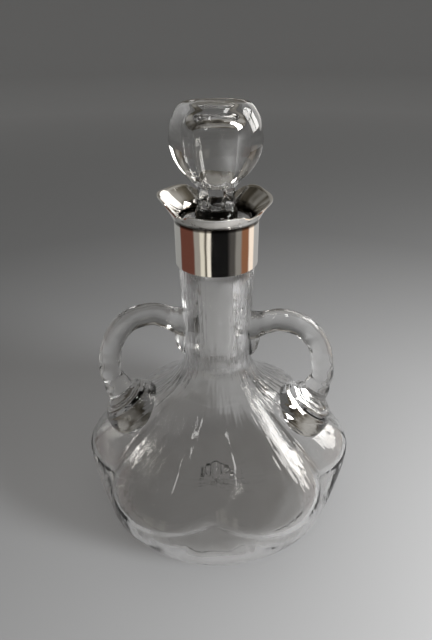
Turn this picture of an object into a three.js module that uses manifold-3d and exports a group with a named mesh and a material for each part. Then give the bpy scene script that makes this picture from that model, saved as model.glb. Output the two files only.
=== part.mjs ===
// A melon-shaped glass decanter: two applied loop handles, a silver collar with a
// three-lobed pouring lip, and a globe stopper that lifts out of the ground neck.
// Millimetres, +Z up. It stands on z = 0, its handles lie on the X axis, its front faces -Y.

import * as THREE from 'three';
import { mergeVertices } from 'three/addons/utils/BufferGeometryUtils.js';
import Module from 'manifold-3d';

const wasm = await Module();
wasm.setup();

// Running gap wherever two pieces touch
const TOUCH_GAP = 0.3;

// Glass body
const BASE_RADIUS = 54;
const BASE_SWEEP = 4;           // how far the outline runs out level from the base edge
const BELLY_RADIUS = 77;
const BELLY_HEIGHT = 40;
const BELLY_DROP = 19;          // how far the outline stays upright below the belly
const SHOULDER_RISE = 18;       // how far it stays upright above the belly
const NECK_SWEEP = 26;          // how far the shoulder runs up along the neck before its foot
const NECK_FOOT_HEIGHT = 103;
const NECK_FOOT_RADIUS = 17.8;
const NECK_TOP_RADIUS = 18.7;
const BODY_WALL = 3.6;
const FLOOR_THICKNESS = 5;
const FLOOR_CORNER = 14;        // the floor turns up into the wall this far in from it
const FLOOR_CORNER_RISE = 2;    // and meets it this far up
const PONTIL_RADIUS = 15;       // the polished hollow under the base
const PONTIL_DEPTH = 1.6;

// Melon lobes
const LOBES = 6;
const FLUTE_DEPTH = 12.2;       // depth of a valley at the belly
const INNER_FLUTE_DEPTH = 12.8; // the same on the inside of the wall
const FLUTE_FADE = 34;          // the valleys reach full depth this far out from the neck
const FLUTE_START = 14;         // the round base ends and the valleys start at this height
const FLUTE_RISE = 26;          // they reach full depth this far above it

// Neck, ground seat and collar seat
const BORE_RADIUS = 10;
const BORE_FLARE_HEIGHT = 14;   // the bore opens into the body over this height
const COLLAR_BOTTOM = 155.4;
const BAND_HEIGHT = 22.4;
const BAND_RADIUS = 20.1;
const BAND_WALL = 0.8;
const MOUTH_DROP = 1.2;         // the glass mouth lies this far below the top of the band
const SPIGOT_RADIUS = 16.6;     // the neck is ground down to this inside the collar
const SPIGOT_STEP = 3;          // height of that step above the lower edge of the band
const SEAT_TOP_RADIUS = 10.6;
const SEAT_BOTTOM_RADIUS = 9.5;
const SEAT_LENGTH = 25;
const SEAT_CHAMFER = 1.2;

// Pouring lip
const LIP_SLEEVE_LENGTH = 6;
const LIP_THICKNESS = 0.9;
const LIP_BASE_OVERHANG = 0.5;  // the foot of the lip stands out past the band
const SPOUT_REACH = 27;
const SPOUT_RISE = 7;
const SPOUT_SIDE_REACH = 25.7;
const FRONT_PINCH_REACH = 22.9;
const FRONT_PINCH_RISE = 4.7;
const LEFT_WING_REACH = 27;
const LEFT_WING_RISE = 10.9;
const RIGHT_WING_REACH = 25.6;   // the right wing was bent a little lower and shorter
const RIGHT_WING_RISE = 8.7;
const WING_BACK_REACH = 26.2;
const WING_BACK_RISE = 10;
const REAR_PINCH_REACH = 18.6;
const REAR_PINCH_RISE = 4.6;

// Stopper
const PLUG_LENGTH = 25;
const PLUG_SHOULDER_RISE = 4.5; // from the glass mouth up to the widest clear part of the plug
const STEM_WIDTH = 16.8;        // across the flats
const STEM_FACETS = 8;
const STEM_BOTTOM_RISE = 7.2;   // above the glass mouth
const STEM_LENGTH = 8.6;
const THROAT_LENGTH = 8;        // the faceted cone between the stem and the globe
const GLOBE_RADIUS = 20.9;
const GLOBE_CENTRE_RISE = 36.6; // above the glass mouth
const CROWN_RISE = 14.7;        // the polished top lies this far above the centre
const CROWN_RADIUS = 13;
const CROWN_ROUND = 2.4;

// Handles: the left one was drawn a little taller and wider than the right one
const ROD_RADIUS = 6;
const ROD_SIDES = 14;
const ROD_STEPS = 30;
const ROD_BITE = 3;             // the rod is drawn on past a surface before that surface cuts it
const TAIL_WIDTH = 11;
const TAIL_STAND = 5;           // how far the drawn tail stands off the neck
const TAIL_LENGTH = 25;
const TAIL_TOP_RISE = 21;       // above the foot of the neck
const PAD_INSET = 28.5;         // from the belly in to the middle of a pad
const PAD_LEAD = 3;             // the middle of a pad lies this far in front of the rods
const PAD_LENGTH = 34;
const PAD_WIDTH = 39;
const PAD_HEIGHT = 27;
const PAD_SINK = 3;             // the middle of a pad lies this far below the skin of the shoulder
const BOW_DROP = 14;            // the rod stands out furthest this far below the foot of the neck
const LEFT_JOIN_RISE = 16.5;    // rises are above the foot of the neck
const LEFT_CROWN_REACH = 17.2;  // out from the foot of the neck to the top of the loop
const LEFT_CROWN_RISE = 22;
const LEFT_BOW_REACH = 12.2;    // out from the middle of the pad
const RIGHT_JOIN_RISE = 15;
const RIGHT_CROWN_REACH = 16.2;
const RIGHT_CROWN_RISE = 19;
const RIGHT_BOW_REACH = 10.1;

// Facet counts
const LOBE_STEPS = 8;
const INNER_SEGMENTS = 36;
const BAND_SEGMENTS = 48;
const LIP_SEGMENTS = 72;
const STOPPER_SEGMENTS = 32;

// Places worked out from the sizes above
const bandTop = COLLAR_BOTTOM + BAND_HEIGHT;
const mouthHeight = bandTop - MOUTH_DROP;
const seatBottom = mouthHeight - SEAT_LENGTH;
const bandInner = BAND_RADIUS - BAND_WALL;
const sleeveInner = SPIGOT_RADIUS + TOUCH_GAP;
const sleeveBottom = bandTop - LIP_SLEEVE_LENGTH;
const padReach = BELLY_RADIUS - PAD_INSET;

const HANDLES = [
  {
    name: 'left',
    side: -1,
    joinRise: LEFT_JOIN_RISE,
    crownReach: LEFT_CROWN_REACH,
    crownRise: LEFT_CROWN_RISE,
    bowReach: LEFT_BOW_REACH,
  },
  {
    name: 'right',
    side: 1,
    joinRise: RIGHT_JOIN_RISE,
    crownReach: RIGHT_CROWN_REACH,
    crownRise: RIGHT_CROWN_RISE,
    bowReach: RIGHT_BOW_REACH,
  },
];

const glass = new THREE.MeshStandardMaterial({
  color: 0xdde4e2, roughness: 0.04, metalness: 0, transparent: true, opacity: 0.35,
});
const silver = new THREE.MeshStandardMaterial({ color: 0xcac6bf, roughness: 0.12, metalness: 1 });
const plaster = new THREE.MeshStandardMaterial({ color: 0xe6e1d6, roughness: 0.9, metalness: 0 });

const point = (radius, height) => new THREE.Vector2(radius, height);
const smooth = (t) => THREE.MathUtils.smoothstep(t, 0, 1);

function toSolid(geometry) {
  const bare = geometry.clone();
  bare.deleteAttribute('normal');
  bare.deleteAttribute('uv');
  const merged = mergeVertices(bare, 1e-5);
  const mesh = new wasm.Mesh({
    numProp: 3,
    vertProperties: new Float32Array(merged.attributes.position.array),
    triVerts: new Uint32Array(merged.index.array),
  });
  return new wasm.Manifold(mesh);
}

function toGeometry(solid) {
  const { vertProperties, triVerts } = solid.getMesh();
  const geometry = new THREE.BufferGeometry();
  geometry.setAttribute('position', new THREE.BufferAttribute(vertProperties, 3));
  geometry.setIndex(new THREE.BufferAttribute(triVerts, 1));
  geometry.computeVertexNormals();
  return geometry;
}

// A turned body from an outline of radius and height, drawn from bottom to top
function turned(outline, segments) {
  return new THREE.LatheGeometry(outline, segments).rotateX(Math.PI / 2);
}

// A turned body whose valleys between the lobes are pressed in by fluteDepth at the belly
function fluted(outline, segments, fluteDepth) {
  const geometry = turned(outline, segments);
  const place = geometry.attributes.position;
  for (let i = 0; i < place.count; i += 1) {
    const radius = Math.hypot(place.getX(i), place.getY(i));
    const reach = THREE.MathUtils.clamp((radius - NECK_FOOT_RADIUS) / FLUTE_FADE, 0, 1);
    const rise = smooth((place.getZ(i) - FLUTE_START) / FLUTE_RISE);
    const valley = valleyAt(Math.atan2(place.getY(i), place.getX(i)));
    const scale = 1 - (fluteDepth * reach * rise * valley) / BELLY_RADIUS;
    place.setXY(i, place.getX(i) * scale, place.getY(i) * scale);
  }
  return geometry;
}

// 0 along the crest of a lobe, 1 in the crease between two lobes
function valleyAt(angle) {
  const lobe = (2 * Math.PI) / LOBES;
  const turn = THREE.MathUtils.euclideanModulo(angle, lobe);
  return (Math.min(turn, lobe - turn) / (lobe / 2)) ** 2;
}

// Each point of an outline moved along the outline's normal, outwards where distance is positive
function offset(outline, distanceAt) {
  return outline.map((here, i) => {
    const before = outline[Math.max(i - 1, 0)];
    const after = outline[Math.min(i + 1, outline.length - 1)];
    const normal = after.clone().sub(before).normalize();
    return point(here.x + normal.y * distanceAt(here), here.y - normal.x * distanceAt(here));
  });
}

// The outside of the glass from the base edge to the foot of the neck
function bodyOutline() {
  const belly = new THREE.CubicBezierCurve(
    point(BASE_RADIUS, 0),
    point(BASE_RADIUS + BASE_SWEEP, 0),
    point(BELLY_RADIUS, BELLY_HEIGHT - BELLY_DROP),
    point(BELLY_RADIUS, BELLY_HEIGHT),
  );
  const shoulder = new THREE.CubicBezierCurve(
    point(BELLY_RADIUS, BELLY_HEIGHT),
    point(BELLY_RADIUS, BELLY_HEIGHT + SHOULDER_RISE),
    point(NECK_FOOT_RADIUS, NECK_FOOT_HEIGHT - NECK_SWEEP),
    point(NECK_FOOT_RADIUS, NECK_FOOT_HEIGHT),
  );
  return [...belly.getPoints(7), ...shoulder.getPoints(14).slice(1)];
}

// The solid outside of the glass, grown by a gap where a neighbour is to be cut by it
function glassOutside(gap) {
  const body = offset(bodyOutline(), () => gap);
  const spigotFoot = COLLAR_BOTTOM + SPIGOT_STEP;
  const outline = [
    point(0, -gap),
    point(BASE_RADIUS, -gap),
    ...body.slice(1),
    point(NECK_TOP_RADIUS + gap, COLLAR_BOTTOM),
    point(NECK_TOP_RADIUS + gap, spigotFoot),
    point(SPIGOT_RADIUS + gap, spigotFoot),
    point(SPIGOT_RADIUS + gap, mouthHeight),
    point(0, mouthHeight),
  ];
  return toSolid(fluted(outline, LOBES * LOBE_STEPS, FLUTE_DEPTH));
}

// The hollow inside: rounded floor, wall, bore and the ground seat of the stopper
function glassInside() {
  const neckWall = NECK_FOOT_RADIUS - BORE_RADIUS;
  const boreFoot = NECK_FOOT_HEIGHT + BORE_FLARE_HEIGHT;
  const wallAt = (p) => {
    const rise = (p.y - BELLY_HEIGHT) / (NECK_FOOT_HEIGHT - BELLY_HEIGHT);
    return BODY_WALL + (neckWall - BODY_WALL) * smooth(rise);
  };
  const cornerTop = FLOOR_THICKNESS + FLOOR_CORNER_RISE;
  const wall = offset(bodyOutline(), (p) => -wallAt(p)).filter((p) => p.y > cornerTop);
  const corner = new THREE.QuadraticBezierCurve(
    point(wall[0].x - FLOOR_CORNER, FLOOR_THICKNESS),
    point(wall[0].x - FLOOR_CORNER / 3, FLOOR_THICKNESS),
    wall[0],
  );
  const outline = [
    point(0, FLOOR_THICKNESS),
    ...corner.getPoints(4),
    ...wall.slice(1, -1),
    point(BORE_RADIUS, boreFoot),
    point(BORE_RADIUS, seatBottom - SEAT_CHAMFER),
    point(SEAT_BOTTOM_RADIUS, seatBottom),
    point(SEAT_TOP_RADIUS, mouthHeight),
    point(SEAT_TOP_RADIUS + SEAT_CHAMFER, mouthHeight + SEAT_CHAMFER),
    point(0, mouthHeight + SEAT_CHAMFER),
  ];
  return toSolid(fluted(outline, INNER_SEGMENTS, INNER_FLUTE_DEPTH));
}

function makeVessel() {
  const pontil = new THREE.SphereGeometry(1, 24, 16);
  pontil.scale(PONTIL_RADIUS, PONTIL_RADIUS, PONTIL_DEPTH);
  return glassOutside(0).subtract(glassInside()).subtract(toSolid(pontil));
}

// Height of the outside of the shoulder at a distance from the axis
function shoulderHeight(reach) {
  const upper = bodyOutline().filter((p) => p.y >= BELLY_HEIGHT);
  const i = upper.findIndex((p) => p.x <= reach);
  const t = (upper[i - 1].x - reach) / (upper[i - 1].x - upper[i].x);
  return THREE.MathUtils.lerp(upper[i - 1].y, upper[i].y, t);
}

// The lump of glass that anchors a handle on the shoulder, lying along the slope
function padShape(side, gap) {
  const slope = Math.atan2(shoulderHeight(padReach - 1) - shoulderHeight(padReach + 1), 2);
  const lump = new THREE.SphereGeometry(1, 24, 14);
  lump.scale(PAD_LENGTH / 2 + gap, PAD_WIDTH / 2 + gap, PAD_HEIGHT / 2 + gap);
  lump.rotateY(side * slope);
  lump.translate(side * padReach, -PAD_LEAD, padCentre());
  return toSolid(lump);
}

function padCentre() {
  return shoulderHeight(padReach) - PAD_SINK;
}

// The middle line of a handle, from inside the neck over the crown and the bow into the pad
function handleLine({ side, joinRise, crownReach, crownRise, bowReach }) {
  const crown = point(NECK_FOOT_RADIUS + crownReach, NECK_FOOT_HEIGHT + crownRise);
  const bow = point(padReach + bowReach, NECK_FOOT_HEIGHT - BOW_DROP);
  const turnPoint = (angle) => point(
    crown.x + (bow.x - crown.x) * Math.sin(angle),
    bow.y + (crown.y - bow.y) * Math.cos(angle),
  );
  const line = [
    point(NECK_FOOT_RADIUS - ROD_BITE, NECK_FOOT_HEIGHT + joinRise),
    point((NECK_FOOT_RADIUS + crown.x) / 2, NECK_FOOT_HEIGHT + (joinRise + 2 * crownRise) / 3),
    crown,
    turnPoint(Math.PI / 6),
    turnPoint(Math.PI / 3),
    bow,
    point(padReach + bowReach * 0.82, padCentre() + PAD_HEIGHT / 2 + ROD_BITE),
    point(padReach + bowReach * 0.45, padCentre() + ROD_BITE),
  ];
  return new THREE.CatmullRomCurve3(line.map((p) => new THREE.Vector3(side * p.x, 0, p.y)));
}

// The rod with the tail that is drawn down the neck below its upper joint
function makeHandle(handle) {
  const section = new THREE.Shape().absarc(0, 0, ROD_RADIUS, 0, 2 * Math.PI);
  const rod = new THREE.ExtrudeGeometry(section, {
    steps: ROD_STEPS,
    curveSegments: ROD_SIDES,
    bevelEnabled: false,
    extrudePath: handleLine(handle),
  });
  const tail = new THREE.SphereGeometry(1, 16, 12);
  tail.scale(TAIL_STAND + ROD_BITE, TAIL_WIDTH / 2, TAIL_LENGTH / 2);
  tail.translate(
    handle.side * (NECK_FOOT_RADIUS - ROD_BITE),
    0,
    NECK_FOOT_HEIGHT + TAIL_TOP_RISE - TAIL_LENGTH / 2,
  );
  return toSolid(rod)
    .add(toSolid(tail))
    .subtract(glassOutside(TOUCH_GAP))
    .subtract(padShape(handle.side, TOUCH_GAP));
}

function makePad(handle) {
  return padShape(handle.side, 0).subtract(glassOutside(TOUCH_GAP));
}

function makeBand() {
  return toSolid(turned([
    point(bandInner, COLLAR_BOTTOM),
    point(BAND_RADIUS, COLLAR_BOTTOM),
    point(BAND_RADIUS, bandTop),
    point(bandInner, bandTop),
    point(bandInner, COLLAR_BOTTOM),
  ], BAND_SEGMENTS));
}

// The plaster bed that holds the collar on the ground neck
function makePlaster() {
  const inner = SPIGOT_RADIUS + TOUCH_GAP;
  const outer = bandInner - TOUCH_GAP;
  const bottom = COLLAR_BOTTOM + SPIGOT_STEP + TOUCH_GAP;
  const top = sleeveBottom - TOUCH_GAP;
  return toSolid(turned([
    point(inner, bottom),
    point(outer, bottom),
    point(outer, top),
    point(inner, top),
    point(inner, bottom),
  ], BAND_SEGMENTS));
}

// Reach and rise of the lip's rim round half of the mouth, from the front to the back
function halfRim(wingReach, wingRise) {
  return [
    { angle: 0, reach: SPOUT_REACH, rise: SPOUT_RISE },
    { angle: 25, reach: SPOUT_SIDE_REACH, rise: SPOUT_RISE },
    { angle: 45, reach: FRONT_PINCH_REACH, rise: FRONT_PINCH_RISE },
    { angle: 66, reach: (FRONT_PINCH_REACH + wingReach) / 2, rise: wingRise * 0.87 },
    { angle: 90, reach: wingReach, rise: wingRise },
    { angle: 116, reach: (wingReach + WING_BACK_REACH) / 2, rise: (wingRise + WING_BACK_RISE) / 2 },
    { angle: 142, reach: WING_BACK_REACH, rise: WING_BACK_RISE },
    { angle: 159, reach: (WING_BACK_REACH + REAR_PINCH_REACH) / 2 - 2, rise: REAR_PINCH_RISE + 1.6 },
    { angle: 180, reach: REAR_PINCH_REACH, rise: REAR_PINCH_RISE },
  ];
}

// One smooth closed run of a rim value, from the front by way of the right all the way round
function rimValueAt(key, angle) {
  const right = halfRim(RIGHT_WING_REACH, RIGHT_WING_RISE);
  const left = halfRim(LEFT_WING_REACH, LEFT_WING_RISE).reverse();
  const ring = [...right, ...left.slice(1).map((s) => ({ ...s, angle: 360 - s.angle }))];
  const degrees = THREE.MathUtils.euclideanModulo(THREE.MathUtils.radToDeg(angle), 360);
  const count = ring.length - 1;
  const i = Math.min(ring.findIndex((s) => s.angle > degrees), count) - 1;
  const near = (k) => ring[(k + count) % count][key];
  const t = (degrees - ring[i].angle) / (ring[i + 1].angle - ring[i].angle);
  return catmull(near(i - 1), near(i), near(i + 1), near(i + 2), t);
}

function catmull(a, b, c, d, t) {
  const out = (c - a) / 2;
  const into = (d - b) / 2;
  return (2 * b - 2 * c + out + into) * t ** 3 + (3 * c - 3 * b - 2 * out - into) * t ** 2 + out * t + b;
}

// The lip's section at one angle: up the inside from the sleeve to the rim and back down
function lipSection(angle) {
  const rim = point(rimValueAt('reach', angle), bandTop + rimValueAt('rise', angle));
  const foot = bandTop + TOUCH_GAP;
  const inside = new THREE.CubicBezierCurve(
    point(sleeveInner, foot - 1),
    point(sleeveInner, foot + (rim.y - foot) * 0.3),
    point(sleeveInner + (rim.x - sleeveInner) * 0.45, foot + (rim.y - foot) * 0.45),
    rim,
  );
  const along = inside.getTangent(1);
  const edge = point(rim.x + along.y * LIP_THICKNESS, rim.y - along.x * LIP_THICKNESS);
  const footReach = BAND_RADIUS + LIP_BASE_OVERHANG;
  const outside = new THREE.CubicBezierCurve(
    edge,
    point(edge.x - along.x * 3, edge.y - along.y * 3),
    point(footReach + 0.6, foot + 1.6),
    point(footReach, foot),
  );
  return [
    point(sleeveInner, sleeveBottom),
    point(sleeveInner + LIP_THICKNESS, sleeveBottom),
    point(sleeveInner + LIP_THICKNESS, foot),
    ...outside.getPoints(5).reverse(),
    ...inside.getPoints(6).reverse(),
    point(sleeveInner, sleeveBottom),
  ];
}

function makeLip() {
  const geometry = turned(lipSection(0), LIP_SEGMENTS);
  const place = geometry.attributes.position;
  const perTurn = lipSection(0).length;
  for (let i = 0; i < place.count; i += 1) {
    const angle = (Math.floor(i / perTurn) * 2 * Math.PI) / LIP_SEGMENTS;
    const here = lipSection(angle)[i % perTurn];
    place.setXYZ(i, here.x * Math.sin(angle), -here.x * Math.cos(angle), here.y);
  }
  return toSolid(geometry);
}

// The globe with its polished flat top, from its lowest point to the crown
function globeOutline(centre) {
  const lower = new THREE.EllipseCurve(0, centre, GLOBE_RADIUS, GLOBE_RADIUS, -Math.PI / 2, 0);
  const edgeAngle = Math.asin((CROWN_RISE - CROWN_ROUND) / GLOBE_RADIUS);
  const upper = new THREE.EllipseCurve(0, centre, GLOBE_RADIUS, GLOBE_RADIUS, 0, edgeAngle);
  const edge = upper.getPoint(1);
  const round = new THREE.QuadraticBezierCurve(
    edge,
    point(edge.x - (CROWN_ROUND * (edge.y - centre)) / edge.x, centre + CROWN_RISE),
    point(CROWN_RADIUS, centre + CROWN_RISE),
  );
  return [
    ...lower.getPoints(9),
    ...upper.getPoints(4).slice(1),
    ...round.getPoints(3).slice(1),
    point(0, centre + CROWN_RISE),
  ];
}

// A faceted frustum with a flat facing the front, sized across its flats
function facetedStem(bottomWidth, topWidth, bottom, top) {
  const toCorner = 0.5 / Math.cos(Math.PI / STEM_FACETS);
  const frustum = new THREE.CylinderGeometry(
    topWidth * toCorner,
    bottomWidth * toCorner,
    top - bottom,
    STEM_FACETS,
  );
  frustum.rotateY(Math.PI / STEM_FACETS);
  frustum.rotateX(Math.PI / 2);
  frustum.translate(0, 0, (bottom + top) / 2);
  return toSolid(frustum);
}

function makeStopper() {
  const centre = mouthHeight + GLOBE_CENTRE_RISE;
  const stemBottom = mouthHeight + STEM_BOTTOM_RISE;
  const stemTop = stemBottom + STEM_LENGTH;
  const throatTop = stemTop + THROAT_LENGTH;
  const throatCorners = 2 * Math.sqrt(GLOBE_RADIUS ** 2 - (centre - throatTop) ** 2);
  const throatWidth = throatCorners * Math.cos(Math.PI / STEM_FACETS);
  const plugTaper = (SEAT_TOP_RADIUS - SEAT_BOTTOM_RADIUS) / SEAT_LENGTH;
  const plugTop = SEAT_TOP_RADIUS - TOUCH_GAP;
  const plugBottom = plugTop - plugTaper * PLUG_LENGTH;
  const plug = turned([
    point(0, mouthHeight - PLUG_LENGTH),
    point(plugBottom - SEAT_CHAMFER, mouthHeight - PLUG_LENGTH),
    point(plugBottom, mouthHeight - PLUG_LENGTH + SEAT_CHAMFER),
    point(plugTop, mouthHeight),
    point(plugTop - 0.4, mouthHeight + PLUG_SHOULDER_RISE),
    point(STEM_WIDTH / 2, stemBottom + 0.5),
    point(0, stemBottom + 0.5),
  ], STOPPER_SEGMENTS);
  return toSolid(turned(globeOutline(centre), STOPPER_SEGMENTS))
    .add(facetedStem(STEM_WIDTH, throatWidth, stemTop, throatTop))
    .add(facetedStem(STEM_WIDTH, STEM_WIDTH, stemBottom, stemTop + 0.5))
    .add(toSolid(plug));
}

function part(name, solid, material) {
  const mesh = new THREE.Mesh(toGeometry(solid), material);
  mesh.name = name;
  return mesh;
}

const decanter = new THREE.Group();
decanter.add(part('glass_vessel', makeVessel(), glass));
for (const handle of HANDLES) {
  decanter.add(part(`${handle.name}_handle`, makeHandle(handle), glass));
  decanter.add(part(`${handle.name}_handle_pad`, makePad(handle), glass));
}
decanter.add(part('collar_band', makeBand(), silver));
decanter.add(part('collar_plaster', makePlaster(), plaster));
decanter.add(part('pouring_lip', makeLip(), silver));
decanter.add(part('stopper', makeStopper(), glass));

export default decanter;
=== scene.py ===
from math import asin, atan2, cos, hypot, pi, radians, sin, sqrt, tau

import bpy
from mathutils import Matrix, Vector


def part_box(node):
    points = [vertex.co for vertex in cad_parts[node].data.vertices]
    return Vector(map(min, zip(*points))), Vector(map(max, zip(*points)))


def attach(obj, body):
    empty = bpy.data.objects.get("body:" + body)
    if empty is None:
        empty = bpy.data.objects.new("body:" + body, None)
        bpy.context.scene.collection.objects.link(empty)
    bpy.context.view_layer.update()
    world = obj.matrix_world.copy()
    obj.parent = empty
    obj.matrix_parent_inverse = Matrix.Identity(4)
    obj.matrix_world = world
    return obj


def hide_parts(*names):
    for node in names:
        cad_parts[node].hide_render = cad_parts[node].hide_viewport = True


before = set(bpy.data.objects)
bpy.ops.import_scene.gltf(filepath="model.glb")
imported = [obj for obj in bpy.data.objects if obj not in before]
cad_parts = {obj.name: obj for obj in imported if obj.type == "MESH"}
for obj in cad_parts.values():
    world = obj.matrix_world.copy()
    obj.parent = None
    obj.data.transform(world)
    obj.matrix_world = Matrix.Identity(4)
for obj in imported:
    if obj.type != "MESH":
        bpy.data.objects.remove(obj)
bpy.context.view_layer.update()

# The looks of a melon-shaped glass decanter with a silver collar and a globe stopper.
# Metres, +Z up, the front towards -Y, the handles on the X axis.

MM = 0.001
scene = bpy.context.scene

# Sizes read from the frame
vessel_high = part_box("glass_vessel")[1]
band_low, band_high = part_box("collar_band")
stopper_low, stopper_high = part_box("stopper")

# Glass body, the same driving sizes as its solid, in millimetres
BASE_RADIUS = 54
BASE_SWEEP = 4
BELLY_RADIUS = vessel_high.x / MM
BELLY_HEIGHT = 40
BELLY_DROP = 19
SHOULDER_RISE = 18
NECK_SWEEP = 26
NECK_FOOT_HEIGHT = 103
NECK_FOOT_RADIUS = 17.8
NECK_TOP_RADIUS = 18.7
NECK_PULL = 16
NECK_WAIST = 0.25
BODY_WALL = 3.6
FLOOR_THICKNESS = 5
FLOOR_CORNER = 14
FLOOR_CORNER_RISE = 2
PONTIL_RADIUS = 15
PONTIL_DEPTH = 1.6
PONTIL_RINGS = (0, 4, 8, 11, 13, 14.3, PONTIL_RADIUS)
LOBES = 6
FLUTE_DEPTH = 12.2
INNER_FLUTE_DEPTH = 12.8
FLUTE_FADE = 34
FLUTE_START = 14
FLUTE_RISE = 26
OUTER_CREASE_ROUND = 0.9
INNER_CREASE_ROUND = 0.84
BORE_RADIUS = 10
BORE_FLARE_HEIGHT = 14
BORE_FLARE_LEAD = 0.4
BORE_FLARE_PULL = 5
BORE_FLARE_RUN = 4
SPIGOT_RADIUS = 16.6
SPIGOT_STEP = 3
STEP_ROUND = 0.4
STEP_FILLET = 0.3
MOUTH_ROUND = 0.5
SEAT_TOP_RADIUS = 10.6
SEAT_BOTTOM_RADIUS = 9.5
SEAT_CHAMFER = 1.2
SEAT_MOUTH_CHAMFER = 0.8
TOUCH_GAP = 0.3
CUT_PAST = 0.2

# Swirls inside the wall, in millimetres: how deep they are and how far from the bore they
# start and are full, then for each its waves round, its pitch, its phase and its share
WAVER = 0.28
WAVER_START = 3
WAVER_RUN = 20
SWIRLS = ((5, 9, 0, 1), (11, -6, 1, 0.5), (3, -14, 2, 1))

COLLAR_BOTTOM = band_low.z / MM
BAND_TOP = band_high.z / MM
BAND_RADIUS = band_high.x / MM
BAND_WALL = 0.8
BAND_EDGE = 0.15
BAND_INNER_EDGE = 0.1
BAND_EDGE_RUN = 0.6
PLASTER_EDGE = 0.4
MOUTH = vessel_high.z / MM
SEAT_BOTTOM = stopper_low.z / MM

# Lip, in millimetres: a pair for the rim is a reach from the axis and a rise above the band
LIP_SLEEVE_LENGTH = 6
LIP_THICKNESS = 0.9
LIP_BASE_OVERHANG = 0.5
LIP_ROOT = 1
LIP_CLIMB = 0.3
LIP_FLARE = 0.45
LIP_RIM_PULL = 3
LIP_OUTER_ROOT = (0.6, 1.6)
LIP_RIM_ROUND = 0.45
SPOUT = (27, 7)
SPOUT_SIDE_REACH = 25.7
FRONT_PINCH = (22.9, 4.7)
LEFT_WING = (27, 10.9)
RIGHT_WING = (25.6, 8.7)
WING_BACK = (26.2, 10)
REAR_PINCH = (18.6, 4.6)
REAR_SLOPE = (-2, 1.6)
WING_FRONT_RISE = 0.87

# Stopper, in millimetres
PLUG_SHOULDER_RISE = 4.5
PLUG_SHOULDER = ((0.4, 0), (0.9, 1))
PLUG_FOOT_ROUND = (0.3, 0.5)
STEM_WIDTH = 16.8
STEM_FACETS = 8
STEM_BOTTOM = MOUTH + 7.2
STEM_TOP = STEM_BOTTOM + 8.6
STEM_OVERLAP = 0.5
THROAT_TOP = STEM_TOP + 8
GLOBE_RADIUS = stopper_high.x / MM
GLOBE_CENTRE = MOUTH + 36.6
CROWN = stopper_high.z / MM
CROWN_RADIUS = 13
CROWN_ROUND = 2.4
BUBBLE_RADIUS = 10.2
BUBBLE_TOP = GLOBE_CENTRE + 7.6
BUBBLE_TIP = STEM_TOP + 1
BUBBLE_TIP_RADIUS = 4.2
BUBBLE_TIP_PULL = (3, 6)
BUBBLE_MIDDLE = GLOBE_CENTRE + 1
BUBBLE_PULL_DOWN = 9
BUBBLE_PULL_UP = 5
BUBBLE_CROWN_PULL = 2.5

# Handles, in millimetres: a flare is a share of the rod's thickness, and its length
ROD_RADIUS = 6
ROD_BITE = 3
ROD_NECK_FLARE = (0.3, 9)
ROD_FOOT_FLARE = (0.25, 7)
TAIL_WIDTH = 11
TAIL_STAND = 5
TAIL_LENGTH = 25
TAIL_TOP_RISE = 21
PAD_INSET = 28.5
PAD_LEAD = 5
PAD_HALF_LENGTH = 16.6
PAD_HALF_WIDTH = 17.2
# Half a pad's outline: share of the half width, and height above the shoulder
PAD_OUTLINE = (
    (0, 10.6), (0.36, 10.5), (0.54, 9.9), (0.60, 9.0), (0.66, 9.1), (0.75, 8.7), (0.82, 7.2),
    (0.86, 5.9), (0.93, 4.6), (0.98, 2.0), (1, -1), (0.99, -4.5), (0.93, -7.6), (0.8, -10), (0, -12),
)
# The lump that the rod runs into: its height, and how deep its middle lies in the shoulder
PAD_HEIGHT = 27
PAD_SINK = 3
BOW_DROP = 14
# How far out over the pad the rod still is, as shares of its bow, where it comes down
BOW_SHARES = (0.82, 0.45)
HANDLES = (
    {"side": -1, "join": 16.5, "crown": (17.2, 22), "bow": 12.2},
    {"side": 1, "join": 15, "crown": (16.2, 19), "bow": 10.1},
)

# Steps round the axis of a turned piece, a whole number for each lobe and facet
BODY_STEPS = 288
HOLLOW_STEPS = 192
SILVER_STEPS = 160
SMALL_STEPS = 96


def point(radius, height):
    return Vector((radius * MM, 0, height * MM))


def bezier(a, b, c, d, count):
    """Points along one cubic curve from a to d, both ends included."""
    run = []
    for i in range(count + 1):
        t = i / count
        s = 1 - t
        run.append(a * s**3 + b * (3 * s * s * t) + c * (3 * s * t * t) + d * t**3)
    return run


def line(a, b, count):
    return [a.lerp(b, i / count) for i in range(count + 1)]


def arc(centre_height, radius, start, stop, count):
    """Points of an arc about the axis, its angles in degrees above level."""
    angles = [radians(start + (stop - start) * i / count) for i in range(count + 1)]
    return [point(radius * cos(a), centre_height + radius * sin(a)) for a in angles]


def chain(*runs):
    """Runs of points put end to end, with no point twice."""
    joined = []
    for run in runs:
        for p in run:
            if not joined or (p - joined[-1]).length > 1e-6:
                joined.append(p)
    return joined


def deselect_all():
    if bpy.context.mode != "OBJECT":
        bpy.ops.object.mode_set(mode="OBJECT")
    bpy.ops.object.select_all(action="DESELECT")


def pick(*objects):
    deselect_all()
    for ob in objects:
        ob.select_set(True)
    bpy.context.view_layer.objects.active = objects[0]
    return objects[0]


def draw_outline(name, outline):
    """An open line of edges through the outline's points, drawn by extruding one vertex."""
    deselect_all()
    bpy.ops.mesh.primitive_plane_add(size=MM, location=(0, 0, 0))
    ob = bpy.context.active_object
    ob.name = ob.data.name = name
    bpy.ops.object.mode_set(mode="EDIT")
    bpy.ops.mesh.select_all(action="SELECT")
    bpy.ops.mesh.merge(type="CENTER")
    bpy.ops.transform.translate(value=outline[0])
    for here, there in zip(outline, outline[1:]):
        bpy.ops.mesh.extrude_region_move(TRANSFORM_OT_translate={"value": there - here})
    return ob


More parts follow.
